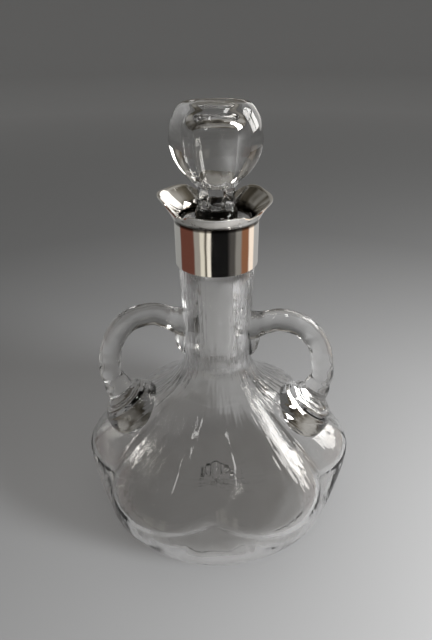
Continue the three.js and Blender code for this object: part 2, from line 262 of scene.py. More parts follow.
def turn(name, outline, steps):
    """A body turned about the Z axis from its outline."""
    ob = draw_outline(name, outline)
    bpy.ops.mesh.select_all(action="SELECT")
    bpy.ops.mesh.spin(steps=steps, angle=tau, center=(0, 0, 0), axis=(0, 0, 1))
    bpy.ops.mesh.select_all(action="SELECT")
    bpy.ops.mesh.remove_doubles(threshold=1e-6)
    bpy.ops.mesh.normals_make_consistent(inside=False)
    bpy.ops.object.mode_set(mode="OBJECT")
    return ob


def press(ob, move):
    """Moves every vertex to the place that move gives for it."""
    for v in ob.data.vertices:
        v.co = move(v.co)
    ob.data.update()


def cut(ob, tool, operation):
    """Joins a tool to a piece, or takes it away from the piece."""
    pick(ob)
    change = ob.modifiers.new("cut", "BOOLEAN")
    change.operation = operation
    change.solver = "MANIFOLD"
    change.object = tool
    bpy.ops.object.modifier_apply(modifier=change.name)
    bpy.data.objects.remove(tool)


def smooth_shade(ob, angle):
    pick(ob)
    bpy.ops.object.shade_smooth_by_angle(angle=radians(angle))


def smooth_step(t):
    t = min(max(t, 0), 1)
    return t * t * (3 - 2 * t)


# Glass body


def valley(angle, round_from):
    """0 along the crest of a lobe, 1 in the crease, which is rounded past a share of the way."""
    lobe = tau / LOBES
    turn_in = angle % lobe
    t = min(turn_in, lobe - turn_in) / (lobe / 2)
    past = max(t - round_from, 0)
    straight = min(t, round_from)
    return straight**2 + 2 * round_from * past - round_from / (1 - round_from) * past**2


def flute(ob, depth, round_from):
    def move(co):
        radius = hypot(co.x, co.y)
        if radius < 1e-6:
            return co
        reach = min(max((radius / MM - NECK_FOOT_RADIUS) / FLUTE_FADE, 0), 1)
        reach *= smooth_step((co.z / MM - FLUTE_START) / FLUTE_RISE)
        scale = 1 - depth * reach * valley(atan2(co.y, co.x), round_from) / BELLY_RADIUS
        return Vector((co.x * scale, co.y * scale, co.z))

    press(ob, move)


def body_outline(belly_steps, shoulder_steps):
    belly = bezier(
        point(BASE_RADIUS, 0),
        point(BASE_RADIUS + BASE_SWEEP, 0),
        point(BELLY_RADIUS, BELLY_HEIGHT - BELLY_DROP),
        point(BELLY_RADIUS, BELLY_HEIGHT),
        belly_steps,
    )
    shoulder = bezier(
        point(BELLY_RADIUS, BELLY_HEIGHT),
        point(BELLY_RADIUS, BELLY_HEIGHT + SHOULDER_RISE),
        point(NECK_FOOT_RADIUS, NECK_FOOT_HEIGHT - NECK_SWEEP),
        point(NECK_FOOT_RADIUS, NECK_FOOT_HEIGHT),
        shoulder_steps,
    )
    return chain(belly, shoulder)


def inset(outline, wall_at):
    """Each point moved square to the outline, inwards by the wall there."""
    moved = []
    for i, here in enumerate(outline):
        along = outline[min(i + 1, len(outline) - 1)] - outline[max(i - 1, 0)]
        square = Vector((along.z, 0, -along.x)).normalized()
        moved.append(here - square * wall_at(here))
    return moved


def make_outside():
    spigot_foot = COLLAR_BOTTOM + SPIGOT_STEP
    neck = bezier(
        point(NECK_FOOT_RADIUS, NECK_FOOT_HEIGHT),
        point(NECK_FOOT_RADIUS, NECK_FOOT_HEIGHT + NECK_PULL),
        point(NECK_TOP_RADIUS - NECK_WAIST, COLLAR_BOTTOM - NECK_PULL),
        point(NECK_TOP_RADIUS, COLLAR_BOTTOM),
        40,
    )
    dish = [point(r, PONTIL_DEPTH * sqrt(1 - (r / PONTIL_RADIUS) ** 2)) for r in PONTIL_RINGS]
    top = [
        point(NECK_TOP_RADIUS, spigot_foot - STEP_ROUND),
        point(NECK_TOP_RADIUS - STEP_ROUND, spigot_foot),
        point(SPIGOT_RADIUS + STEP_FILLET, spigot_foot),
        point(SPIGOT_RADIUS, spigot_foot + STEP_FILLET),
        point(SPIGOT_RADIUS, MOUTH - MOUTH_ROUND),
        point(SPIGOT_RADIUS - MOUTH_ROUND, MOUTH),
        point(0, MOUTH),
    ]
    foot = line(point(PONTIL_RADIUS, 0), point(BASE_RADIUS, 0), 8)
    ob = turn("glass_body", chain(dish, foot, body_outline(40, 96), neck, top), BODY_STEPS)
    flute(ob, FLUTE_DEPTH, OUTER_CREASE_ROUND)
    return ob


def waver(ob):
    """The slight swirl that blowing leaves on the inside of the wall."""

    def move(co):
        reach = hypot(co.x, co.y) / MM
        past_bore = reach - BORE_RADIUS - WAVER_START
        if past_bore < 0:
            return co
        angle = atan2(co.y, co.x)
        height = co.z / MM
        swirl = sum(
            size * sin(count * angle + height / pitch + phase) for count, pitch, phase, size in SWIRLS
        )
        share = min(past_bore / WAVER_RUN, 1) * WAVER / reach
        return Vector((co.x * (1 - share * swirl), co.y * (1 - share * swirl), co.z))

    press(ob, move)


def make_hollow():
    """The space inside, closed above the mouth, to be cut out of the glass."""
    neck_wall = NECK_FOOT_RADIUS - BORE_RADIUS

    def wall_at(p):
        rise = (p.z / MM - BELLY_HEIGHT) / (NECK_FOOT_HEIGHT - BELLY_HEIGHT)
        return (BODY_WALL + (neck_wall - BODY_WALL) * smooth_step(rise)) * MM

    above = (FLOOR_THICKNESS + FLOOR_CORNER_RISE) * MM
    wall = [p for p in inset(body_outline(60, 72), wall_at) if p.z > above]
    corner_start = point(wall[0].x / MM - FLOOR_CORNER, FLOOR_THICKNESS)
    corner_pull = point(wall[0].x / MM - FLOOR_CORNER / 3, FLOOR_THICKNESS)
    corner = bezier(corner_start, corner_pull, corner_pull, wall[0], 8)
    bore_foot = NECK_FOOT_HEIGHT + BORE_FLARE_HEIGHT
    flare = bezier(
        wall[-1],
        wall[-1].lerp(point(BORE_RADIUS, bore_foot), BORE_FLARE_LEAD),
        point(BORE_RADIUS, bore_foot - BORE_FLARE_PULL),
        point(BORE_RADIUS, bore_foot + BORE_FLARE_RUN),
        10,
    )
    outline = chain(
        line(point(0, FLOOR_THICKNESS), corner_start, 8),
        corner,
        wall,
        flare,
        line(flare[-1], point(BORE_RADIUS, SEAT_BOTTOM - SEAT_CHAMFER), 8),
        line(
            point(SEAT_BOTTOM_RADIUS, SEAT_BOTTOM),
            point(SEAT_TOP_RADIUS, MOUTH - SEAT_MOUTH_CHAMFER),
            8,
        ),
        [
            point(SEAT_TOP_RADIUS + SEAT_MOUTH_CHAMFER + CUT_PAST, MOUTH + CUT_PAST),
            point(0, MOUTH + CUT_PAST),
        ],
    )
    ob = turn("glass_hollow", outline, HOLLOW_STEPS)
    flute(ob, INNER_FLUTE_DEPTH, INNER_CREASE_ROUND)
    waver(ob)
    return ob


def shoulder_height(reach):
    """Height of the outside of the shoulder at a distance from the axis, in millimetres."""
    upper = [p for p in body_outline(8, 96) if p.z >= BELLY_HEIGHT * MM]
    for before, after in zip(upper, upper[1:]):
        if after.x <= reach * MM <= before.x:
            t = (before.x - reach * MM) / (before.x - after.x)
            return before.lerp(after, t).z / MM
    return BELLY_HEIGHT


PAD_REACH = BELLY_RADIUS - PAD_INSET
PAD_SEAT = shoulder_height(PAD_REACH)
PAD_CENTRE = PAD_SEAT - PAD_SINK
PAD_TOP = PAD_CENTRE + PAD_HEIGHT / 2
PAD_SLOPE = atan2(shoulder_height(PAD_REACH - 1) - shoulder_height(PAD_REACH + 1), 2)


def make_pad(side):
    """The drum of glass that anchors a handle, with a ring pressed round its top."""
    outline = through([point(share * PAD_HALF_WIDTH, height) for share, height in PAD_OUTLINE], 5)
    pad = turn("pad", chain(outline), SMALL_STEPS)
    middle = Vector((side * PAD_REACH, -PAD_LEAD, PAD_SEAT)) * MM
    along = Vector((cos(PAD_SLOPE), 0, -side * sin(PAD_SLOPE))) * (PAD_HALF_LENGTH / PAD_HALF_WIDTH)
    out = Vector((side * sin(PAD_SLOPE), 0, cos(PAD_SLOPE)))
    press(pad, lambda co: middle + along * co.x + Vector((0, co.y, 0)) + out * co.z)
    return pad


def handle_line(handle):
    """Middle line of a handle, from inside the neck over its crown and bow into the pad."""
    crown = point(NECK_FOOT_RADIUS + handle["crown"][0], NECK_FOOT_HEIGHT + handle["crown"][1])
    bow = point(PAD_REACH + handle["bow"], NECK_FOOT_HEIGHT - BOW_DROP)

    def bend(angle):
        return Vector((
            crown.x + (bow.x - crown.x) * sin(angle),
            0,
            bow.z + (crown.z - bow.z) * cos(angle),
        ))

    rise = NECK_FOOT_HEIGHT + (handle["join"] + 2 * handle["crown"][1]) / 3
    knots = [
        point(NECK_FOOT_RADIUS - ROD_BITE, NECK_FOOT_HEIGHT + handle["join"]),
        point(NECK_FOOT_RADIUS + handle["crown"][0] / 2, rise),
        crown,
        bend(pi / 6),
        bend(pi / 3),
        bow,
        point(PAD_REACH + handle["bow"] * BOW_SHARES[0], PAD_TOP + ROD_BITE),
        point(PAD_REACH + handle["bow"] * BOW_SHARES[1], PAD_CENTRE + ROD_BITE),
    ]
    return through(knots, 12)


def catmull(a, b, c, d, t):
    """The place at t between b and c, on a smooth curve through all four."""
    out = (c - a) / 2
    into = (d - b) / 2
    curved = (2 * b - 2 * c + out + into) * t**3 + (3 * c - 3 * b - 2 * out - into) * t**2
    return curved + out * t + b


def through(knots, count):
    """A smooth line through its knots, with count steps between each two."""
    ends = [knots[0] * 2 - knots[1], *knots, knots[-1] * 2 - knots[-2]]
    near = zip(ends, ends[1:], ends[2:], ends[3:])
    return [*(catmull(*four, i / count) for four in near for i in range(count)), knots[-1]]


def make_rod(handle):
    """The drawn rod of a handle, a little thicker where it runs into the neck and the pad."""
    path = handle_line(handle)
    deselect_all()
    bpy.ops.curve.primitive_bezier_curve_add()
    ob = bpy.context.active_object
    curve = ob.data
    curve.splines.clear()
    curve.bevel_depth = ROD_RADIUS * MM
    curve.bevel_resolution = 8
    curve.use_fill_caps = True
    spline = curve.splines.new("POLY")
    spline.points.add(len(path) - 1)
    for place, knot in zip(path, spline.points):
        knot.co = (handle["side"] * place.x, 0, place.z, 1)
        knot.radius = 1
        for far, (flare, run) in (
            (place.x / MM - NECK_FOOT_RADIUS, ROD_NECK_FLARE),
            (place.z / MM - PAD_TOP, ROD_FOOT_FLARE),
        ):
            knot.radius += flare * (1 - smooth_step(far / run))
    pick(ob)
    bpy.ops.object.convert(target="MESH")
    rod = bpy.context.active_object
    bpy.ops.object.mode_set(mode="EDIT")
    bpy.ops.mesh.select_all(action="SELECT")
    bpy.ops.mesh.remove_doubles(threshold=1e-6)
    bpy.ops.mesh.normals_make_consistent(inside=False)
    bpy.ops.object.mode_set(mode="OBJECT")
    return rod


def make_tail(side):
    """The point that the glass was drawn down to on the neck, below a handle's joint."""
    deselect_all()
    bpy.ops.mesh.primitive_uv_sphere_add(segments=48, ring_count=32, radius=MM)
    tail = bpy.context.active_object
    half_length = TAIL_LENGTH / 2
    height = NECK_FOOT_HEIGHT + TAIL_TOP_RISE - half_length
    middle = point(side * (NECK_FOOT_RADIUS - ROD_BITE), height)
    size = Vector((TAIL_STAND + ROD_BITE, TAIL_WIDTH / 2, half_length))
    press(tail, lambda co: middle + co * size)
    return tail


def make_body():
    ob = make_outside()
    for handle in HANDLES:
        cut(ob, make_pad(handle["side"]), "UNION")
        cut(ob, make_rod(handle), "UNION")
        cut(ob, make_tail(handle["side"]), "UNION")
    cut(ob, make_hollow(), "DIFFERENCE")
    smooth_shade(ob, 40)
    return ob


# Silver


def make_band():
    inner = BAND_RADIUS - BAND_WALL
    outline = [
        point(inner, COLLAR_BOTTOM + BAND_INNER_EDGE),
        point(inner + BAND_INNER_EDGE, COLLAR_BOTTOM),
        point(BAND_RADIUS - BAND_EDGE, COLLAR_BOTTOM),
        point(BAND_RADIUS, COLLAR_BOTTOM + BAND_EDGE),
        *line(
            point(BAND_RADIUS, COLLAR_BOTTOM + BAND_EDGE_RUN),
            point(BAND_RADIUS, BAND_TOP - BAND_EDGE_RUN),
            10,
        ),
        point(BAND_RADIUS, BAND_TOP - BAND_EDGE),
        point(BAND_RADIUS - BAND_EDGE, BAND_TOP),
        point(inner + BAND_INNER_EDGE, BAND_TOP),
        point(inner, BAND_TOP - BAND_INNER_EDGE),
        point(inner, COLLAR_BOTTOM + BAND_INNER_EDGE),
    ]
    ob = turn("collar_band_polished", outline, SILVER_STEPS)
    smooth_shade(ob, 30)
    return ob


def make_plaster():
    inner = SPIGOT_RADIUS + TOUCH_GAP
    outer = BAND_RADIUS - BAND_WALL - TOUCH_GAP
    bottom = COLLAR_BOTTOM + SPIGOT_STEP + TOUCH_GAP
    top = BAND_TOP - LIP_SLEEVE_LENGTH - TOUCH_GAP
    outline = [
        point(inner, bottom),
        point(outer - PLASTER_EDGE, bottom),
        point(outer, bottom + PLASTER_EDGE),
        *line(point(outer, bottom + 1), point(outer, top - 1), 6),
        point(outer, top - PLASTER_EDGE),
        point(outer - PLASTER_EDGE, top),
        point(inner, top),
        point(inner, bottom),
    ]
    ob = turn("plaster_bed", outline, SMALL_STEPS)
    smooth_shade(ob, 30)
    return ob


def half_rim(wing):
    """Angle from the front, reach and rise of the rim of the lip round one half."""
    return [
        (0, *SPOUT),
        (25, SPOUT_SIDE_REACH, SPOUT[1]),
        (45, *FRONT_PINCH),
        (66, (FRONT_PINCH[0] + wing[0]) / 2, wing[1] * WING_FRONT_RISE),
        (90, *wing),
        (116, (wing[0] + WING_BACK[0]) / 2, (wing[1] + WING_BACK[1]) / 2),
        (142, *WING_BACK),
        (159, (WING_BACK[0] + REAR_PINCH[0]) / 2 + REAR_SLOPE[0], REAR_PINCH[1] + REAR_SLOPE[1]),
        (180, *REAR_PINCH),
    ]


def rim_at(degrees):
    """Reach and rise of the rim, from the front by way of the right all the way round."""
    left = [(360 - angle, reach, rise) for angle, reach, rise in reversed(half_rim(LEFT_WING))]
    ring = half_rim(RIGHT_WING) + left[1:]
    count = len(ring) - 1
    i = max(k for k in range(count) if ring[k][0] <= degrees % 360)
    t = (degrees % 360 - ring[i][0]) / (ring[i + 1][0] - ring[i][0])
    near = [ring[(i + k) % count] for k in (-1, 0, 1, 2)]
    return tuple(catmull(*(station[key] for station in near), t) for key in (1, 2))


LIP_INSIDE_STEPS = 14
LIP_OUTSIDE_STEPS = 12
# The ring that is pressed into the lip, in millimetres
TORUS_RADIUS = 60
TORUS_TUBE = 20


def lip_section(degrees):
    """The lip's section at one angle: up the outside from the sleeve, over the rim, back down."""
    reach, rise = rim_at(degrees)
    rim = point(reach, BAND_TOP + rise)
    sleeve = SPIGOT_RADIUS + TOUCH_GAP
    foot = BAND_TOP + TOUCH_GAP
    climb = rim.z / MM - foot
    inside = bezier(
        point(sleeve, foot - LIP_ROOT),
        point(sleeve, foot + climb * LIP_CLIMB),
        point(sleeve + (reach - sleeve) * LIP_FLARE, foot + climb * LIP_FLARE),
        rim,
        LIP_INSIDE_STEPS,
    )
    along = (inside[-1] - inside[-2]).normalized()
    edge = rim + Vector((along.z, 0, -along.x)) * LIP_THICKNESS * MM
    ground = BAND_RADIUS + LIP_BASE_OVERHANG
    outside = bezier(
        edge,
        edge - along * LIP_RIM_PULL * MM,
        point(ground + LIP_OUTER_ROOT[0], foot + LIP_OUTER_ROOT[1]),
        point(ground, foot),
        LIP_OUTSIDE_STEPS,
    )
    bottom = BAND_TOP - LIP_SLEEVE_LENGTH
    round_edge = (rim + edge) / 2 + along * LIP_THICKNESS * LIP_RIM_ROUND * MM
    return [
        point(sleeve, bottom),
        point(sleeve + LIP_THICKNESS, bottom),
        point(sleeve + LIP_THICKNESS, foot),
        *reversed(outside),
        round_edge,
        *reversed(inside),
    ]


def make_lip():
    """A ring with one row of points for each point of the section, pressed to the lip's form."""
    rows = len(lip_section(0))
    ring = TORUS_RADIUS * MM
    deselect_all()
    bpy.ops.mesh.primitive_torus_add(
        major_segments=SILVER_STEPS,
        minor_segments=rows,
        major_radius=ring,
        minor_radius=TORUS_TUBE * MM,
    )
    ob = bpy.context.active_object
    ob.name = ob.data.name = "pouring_lip_polished"
    sections = {}

    def move(co):
        degrees = round((atan2(co.x, -co.y) * 360 / tau) % 360, 3)
        if degrees not in sections:
            sections[degrees] = lip_section(degrees)
        row = round(atan2(co.z, hypot(co.x, co.y) - ring) / tau * rows) % rows
        place = sections[degrees][row]
        turned = radians(degrees)
        return Vector((place.x * sin(turned), -place.x * cos(turned), place.z))

    press(ob, move)
    pick(ob)
    bpy.ops.object.mode_set(mode="EDIT")
    bpy.ops.mesh.select_all(action="SELECT")
    bpy.ops.mesh.normals_make_consistent(inside=False)
    bpy.ops.object.mode_set(mode="OBJECT")
    smooth_shade(ob, 50)
    return ob


# Stopper


def faceted(bottom_width, top_width, bottom, top):
    """A faceted frustum with a flat facing the front, sized across its flats."""
    to_corner = 0.5 / cos(pi / STEM_FACETS)
    deselect_all()
    bpy.ops.mesh.primitive_cone_add(
        vertices=STEM_FACETS,
        radius1=bottom_width * to_corner * MM,
        radius2=top_width * to_corner * MM,
        depth=(top - bottom) * MM,
    )
    ob = bpy.context.active_object
    lift = Vector((0, 0, (bottom + top) / 2 * MM))
    swing = Matrix.Rotation(pi / STEM_FACETS, 3, "Z")
    press(ob, lambda co: swing @ co + lift)
    return ob


def make_bubble():
    """The drop of air inside the globe, flattened above and drawn to a tip below."""
    outline = chain(
        [point(0, BUBBLE_TIP)],
        bezier(
            point(BUBBLE_TIP_RADIUS, BUBBLE_TIP),
            point(BUBBLE_TIP_RADIUS + BUBBLE_TIP_PULL[0], BUBBLE_TIP + BUBBLE_TIP_PULL[1]),
            point(BUBBLE_RADIUS, BUBBLE_MIDDLE - BUBBLE_PULL_DOWN),
            point(BUBBLE_RADIUS, BUBBLE_MIDDLE),
            40,
        ),
        bezier(
            point(BUBBLE_RADIUS, BUBBLE_MIDDLE),
            point(BUBBLE_RADIUS, BUBBLE_MIDDLE + BUBBLE_PULL_UP),
            point(BUBBLE_RADIUS - BUBBLE_CROWN_PULL, BUBBLE_TOP),
            point(0, BUBBLE_TOP),
            28,
        ),
    )
    return turn("bubble", outline, SMALL_STEPS)


def make_stopper():
    crown_edge = asin((CROWN - GLOBE_CENTRE - CROWN_ROUND) / GLOBE_RADIUS) * 360 / tau
    edge = arc(GLOBE_CENTRE, GLOBE_RADIUS, crown_edge, crown_edge, 1)[0]
    corner = point(edge.x / MM - CROWN_ROUND * (edge.z / MM - GLOBE_CENTRE) / (edge.x / MM), CROWN)
    round_off = bezier(
        edge,
        edge.lerp(corner, 2 / 3),
        point(CROWN_RADIUS, CROWN).lerp(corner, 2 / 3),
        point(CROWN_RADIUS, CROWN),
        10,
    )
    outline = chain(
        arc(GLOBE_CENTRE, GLOBE_RADIUS, -90, crown_edge, 96),
        round_off,
        line(point(CROWN_RADIUS, CROWN), point(0, CROWN), 6),
    )
    ob = turn("globe_stopper", outline, SILVER_STEPS)
    across_corners = 2 * sqrt(GLOBE_RADIUS**2 - (GLOBE_CENTRE - THROAT_TOP) ** 2)
    throat_width = across_corners * cos(pi / STEM_FACETS)
    cut(ob, faceted(STEM_WIDTH, throat_width, STEM_TOP, THROAT_TOP), "UNION")
    cut(ob, faceted(STEM_WIDTH, STEM_WIDTH, STEM_BOTTOM, STEM_TOP + STEM_OVERLAP), "UNION")
    taper = (SEAT_TOP_RADIUS - SEAT_BOTTOM_RADIUS) / (MOUTH - SEAT_BOTTOM)
    plug_top = SEAT_TOP_RADIUS - TOUCH_GAP
    plug_bottom = plug_top - taper * (MOUTH - SEAT_BOTTOM)
    plug = turn(
        "plug",
        [
            point(0, SEAT_BOTTOM),
            point(plug_bottom - SEAT_CHAMFER, SEAT_BOTTOM),
            point(plug_bottom - PLUG_FOOT_ROUND[0], SEAT_BOTTOM + PLUG_FOOT_ROUND[1]),
            point(plug_bottom, SEAT_BOTTOM + SEAT_CHAMFER),
            *line(point(plug_bottom, SEAT_BOTTOM + 2), point(plug_top, MOUTH), 8),
            *(point(plug_top - x, MOUTH + PLUG_SHOULDER_RISE + z) for x, z in PLUG_SHOULDER),
            point(STEM_WIDTH / 2, STEM_BOTTOM + STEM_OVERLAP),
            point(0, STEM_BOTTOM + STEM_OVERLAP),
        ],
        SILVER_STEPS,
    )
    cut(ob, plug, "UNION")
    cut(ob, make_bubble(), "DIFFERENCE")
    smooth_shade(ob, 30)
    return ob


# Camera: heights and distances in metres, from the middle of the base
CAMERA_HEIGHT = 0.250
CAMERA_DISTANCE = 0.225
CAMERA_PITCH = 29.7
CAMERA_TURN = 2.0
CAMERA_ROLL = -0.45
FOCAL_PIXELS = 490
FRAME_HEIGHT_PIXELS = 640
SHIFT_PIXELS = 1.3
SENSOR = 36


def make_camera():
    data = bpy.data.cameras.new("camera")
    data.sensor_width = SENSOR
    data.lens = SENSOR * FOCAL_PIXELS / FRAME_HEIGHT_PIXELS
    data.shift_x = -SHIFT_PIXELS / FRAME_HEIGHT_PIXELS
    data.clip_start = 0.01
    camera = bpy.data.objects.new("camera", data)
    scene.collection.objects.link(camera)
    swing = Matrix.Rotation(radians(CAMERA_TURN), 4, "Z")
    place = Matrix.Translation((0, -CAMERA_DISTANCE, CAMERA_HEIGHT))
    tilt = Matrix.Rotation(radians(90 - CAMERA_PITCH), 4, "X")
    roll = Matrix.Rotation(radians(CAMERA_ROLL), 4, "Z")
    camera.matrix_world = swing @ place @ tilt @ roll
    scene.camera = camera


make_camera()

# Materials

# Heights of the surface's unevenness, in millimetres
GLASS_WAVE = 0.75
GLASS_STREAK = 0.5
ROD_WAVE = 2.0
SILVER_WAVE = 0.3
PLASTER_GRAIN = 0.2

# Scale and detail of each noise, and how much longer a streak is than it is wide
SMUDGE_NOISE = (38, 5)
WAVE_NOISE = (55, 1)
STREAK_NOISE = (8, 2)
ROD_NOISE = (70, 1)
GRAIN_NOISE = (400, 6)
ROOM_NOISE = (1.3, 2)
STREAK_STRETCH = 4

# Where in their noise the smudges start and are full
SMUDGE_RANGE = (0.45, 0.75)

# Spans in millimetres: the heights over which the streaks end, and the rods' waves set in
# away from the neck, above the pads and below the lip
STREAK_END = (170, 185)
ROD_OUT = (19, 26)
ROD_FOOT = (82, 92)
ROD_TOP = (135, 145)

# Painted shade darkens the silver in the throat of the lip and along its seam with the band, in
# millimetres
THROAT_SHADE = (17.4, 19.4)
SEAM_SHADE = (0.7, 1.6)
SEAM_DARKNESS = 0.9
SMUDGE_DARKNESS = 0.08

GLASS_CLEAN = (0.992, 0.989, 0.982)
GLASS_SMUDGED = (0.965, 0.957, 0.945)
GLASS_SHADOW = (0.86, 0.855, 0.85)
GLASS_ROUGHNESS = (0, 0.02)
GLASS_INDEX = 1.52
SILVER_CLEAN = (0.93, 0.915, 0.885)
# The dark end of the silver: painted shade in the throat and at the seam, and the darkening of
# smudges
SILVER_SHADE_AND_SMUDGE = (0.05, 0.042, 0.034)
SILVER_ROUGHNESS = (0.05, 0.12)
PLASTER_DARK = (0.30, 0.26, 0.20)
PLASTER_LIGHT = (0.46, 0.41, 0.33)
MATT = 0.9


def new_material(name):
    material = bpy.data.materials.new(name)
    material.use_nodes = True
    material.node_tree.nodes.clear()
    return material, material.node_tree.nodes


def link(source, target):
    target.id_data.links.new(source, target)


def show(nodes, shader):
    """Ends a material with its shader."""
    link(shader.outputs[0], nodes.new("ShaderNodeOutputMaterial").inputs["Surface"])


def value(nodes, operation, first, second=None):
    """A maths node whose inputs are numbers or other nodes' outputs."""
    node = nodes.new("ShaderNodeMath")
    node.operation = operation
    for slot, given in zip(node.inputs, (first, second)):
        if isinstance(given, (int, float)):
            slot.default_value = given
        elif given is not None:
            link(given, slot)
    return node.outputs[0]


def product(nodes, first, second):
    return value(nodes, "MULTIPLY", first, second)


def ranged(nodes, given, low, high, to_low, to_high):
    node = nodes.new("ShaderNodeMapRange")
    node.inputs["From Min"].default_value = low
    node.inputs["From Max"].default_value = high
    node.inputs["To Min"].default_value = to_low
    node.inputs["To Max"].default_value = to_high
    link(given, node.inputs["Value"])
    return node.outputs[0]


def fade(nodes, given, span, start, stop):
    """Goes from start to stop while a length goes through a span, which is in millimetres."""
    return ranged(nodes, given, span[0] * MM, span[1] * MM, start, stop)


def noise(nodes, place, scale, detail):
    node = nodes.new("ShaderNodeTexNoise")
    node.inputs["Scale"].default_value = scale
    node.inputs["Detail"].default_value = detail
    link(place, node.inputs["Vector"])
    return node.outputs["Fac"]


def object_place(nodes):
    return nodes.new("ShaderNodeTexCoord").outputs["Object"]


def split(nodes, place):
    """The X, Y and Z of a place."""
    parts = nodes.new("ShaderNodeSeparateXYZ")
    link(place, parts.inputs[0])
    return parts.outputs


def distance_from_axis(nodes, parts):
    across = product(nodes, parts["X"], parts["X"])
    deep = product(nodes, parts["Y"], parts["Y"])
    return value(nodes, "SQRT", value(nodes, "ADD", across, deep))


def blend(nodes, share, first, second):
    """A colour that goes from the first to the second as the share goes from 0 to 1."""
    mix = nodes.new("ShaderNodeMix")
    mix.data_type = "RGBA"
    mix.inputs[6].default_value = (*first, 1)
    mix.inputs[7].default_value = (*second, 1)
    link(share, mix.inputs[0])
    return mix.outputs[2]


def ramp(nodes, share, stops):
    """A colour that runs through the stops, each of which is a share and its colour."""
    node = nodes.new("ShaderNodeValToRGB")
    steps = node.color_ramp.elements
    for step, (at, colour) in zip(steps, (stops[0], stops[-1])):
        step.position = at
        step.color = (*colour, 1)
    for at, colour in stops[1:-1]:
        steps.new(at).color = (*colour, 1)
    link(share, node.inputs["Fac"])
    return node.outputs["Color"]


def waves(nodes, height):
    """A normal from a height in millimetres."""
    bump = nodes.new("ShaderNodeBump")
    bump.inputs["Distance"].default_value = MM
    bump.inputs["Strength"].default_value = 1
    link(height, bump.inputs["Height"])
    return bump.outputs["Normal"]


def handling_group():
    """Smudges left by hands, the long waves of handwork, and streaks that run up the glass."""
    tree = bpy.data.node_groups.new("handling", "ShaderNodeTree")
    tree.interface.new_socket(name="Place", in_out="INPUT", socket_type="NodeSocketVector")
    for name in ("Smudge", "Wave", "Streak"):
        tree.interface.new_socket(name=name, in_out="OUTPUT", socket_type="NodeSocketFloat")
    nodes = tree.nodes
    place = nodes.new("NodeGroupInput").outputs["Place"]
    result = nodes.new("NodeGroupOutput").inputs
    smudge = noise(nodes, place, *SMUDGE_NOISE)
    link(ranged(nodes, smudge, *SMUDGE_RANGE, 0, 1), result["Smudge"])
    link(noise(nodes, place, *WAVE_NOISE), result["Wave"])
    parts = split(nodes, place)
    reach = value(nodes, "MAXIMUM", distance_from_axis(nodes, parts), MM)
    round_axis = nodes.new("ShaderNodeCombineXYZ")
    link(value(nodes, "DIVIDE", parts["X"], reach), round_axis.inputs["X"])
    link(value(nodes, "DIVIDE", parts["Y"], reach), round_axis.inputs["Y"])
    link(product(nodes, parts["Z"], STREAK_STRETCH), round_axis.inputs["Z"])
    link(noise(nodes, round_axis.outputs[0], *STREAK_NOISE), result["Streak"])
    return tree


handling = handling_group()


def add_handling(nodes):
    place = object_place(nodes)
    group = nodes.new("ShaderNodeGroup")
    group.node_tree = handling
    link(place, group.inputs["Place"])
    return place, group.outputs


def glass_material(name):
    material, nodes = new_material(name)
    place, handled = add_handling(nodes)
    parts = split(nodes, place)
    streak = fade(nodes, parts["Z"], STREAK_END, GLASS_STREAK, 0)
    height = value(
        nodes,
        "ADD",
        product(nodes, handled["Wave"], GLASS_WAVE),
        product(nodes, handled["Streak"], streak),
    )
    beside_neck = fade(nodes, distance_from_axis(nodes, parts), ROD_OUT, 0, ROD_WAVE)
    over_pads = fade(nodes, parts["Z"], ROD_FOOT, 0, 1)
    under_lip = fade(nodes, parts["Z"], ROD_TOP, 1, 0)
    on_rods = product(nodes, beside_neck, product(nodes, over_pads, under_lip))
    rod_height = product(nodes, on_rods, noise(nodes, place, *ROD_NOISE))
    shader = nodes.new("ShaderNodeBsdfPrincipled")
    link(blend(nodes, handled["Smudge"], GLASS_CLEAN, GLASS_SMUDGED), shader.inputs["Base Color"])
    link(ranged(nodes, handled["Smudge"], 0, 1, *GLASS_ROUGHNESS), shader.inputs["Roughness"])
    link(waves(nodes, value(nodes, "ADD", height, rod_height)), shader.inputs["Normal"])
    shader.inputs["Metallic"].default_value = 0
    shader.inputs["IOR"].default_value = GLASS_INDEX
    shader.inputs["Transmission Weight"].default_value = 1
    clear = nodes.new("ShaderNodeBsdfTransparent")
    clear.inputs[0].default_value = (*GLASS_SHADOW, 1)
    mix = nodes.new("ShaderNodeMixShader")
    link(nodes.new("ShaderNodeLightPath").outputs["Is Shadow Ray"], mix.inputs[0])
    link(shader.outputs[0], mix.inputs[1])
    link(clear.outputs[0], mix.inputs[2])
    show(nodes, mix)
    return material


def silver_material(name):
    material, nodes = new_material(name)
    place, handled = add_handling(nodes)
    parts = split(nodes, place)
    # Painted shade: the throat of the lip and the seam below its overhang are darkened nearly to
    # black, and smudges a little
    throat = fade(nodes, distance_from_axis(nodes, parts), THROAT_SHADE, 1, 0)
    from_seam = value(nodes, "ABSOLUTE", value(nodes, "SUBTRACT", parts["Z"], BAND_TOP * MM))
    seam = fade(nodes, from_seam, SEAM_SHADE, SEAM_DARKNESS, 0)
    smudged = product(nodes, handled["Smudge"], SMUDGE_DARKNESS)
    shade_and_smudge = value(nodes, "MAXIMUM", value(nodes, "MAXIMUM", throat, seam), smudged)
    shader = nodes.new("ShaderNodeBsdfPrincipled")
    link(blend(nodes, shade_and_smudge, SILVER_CLEAN, SILVER_SHADE_AND_SMUDGE), shader.inputs["Base Color"])
    link(ranged(nodes, handled["Smudge"], 0, 1, *SILVER_ROUGHNESS), shader.inputs["Roughness"])
    link(waves(nodes, product(nodes, handled["Wave"], SILVER_WAVE)), shader.inputs["Normal"])
    shader.inputs["Metallic"].default_value = 1
    show(nodes, shader)
    return material


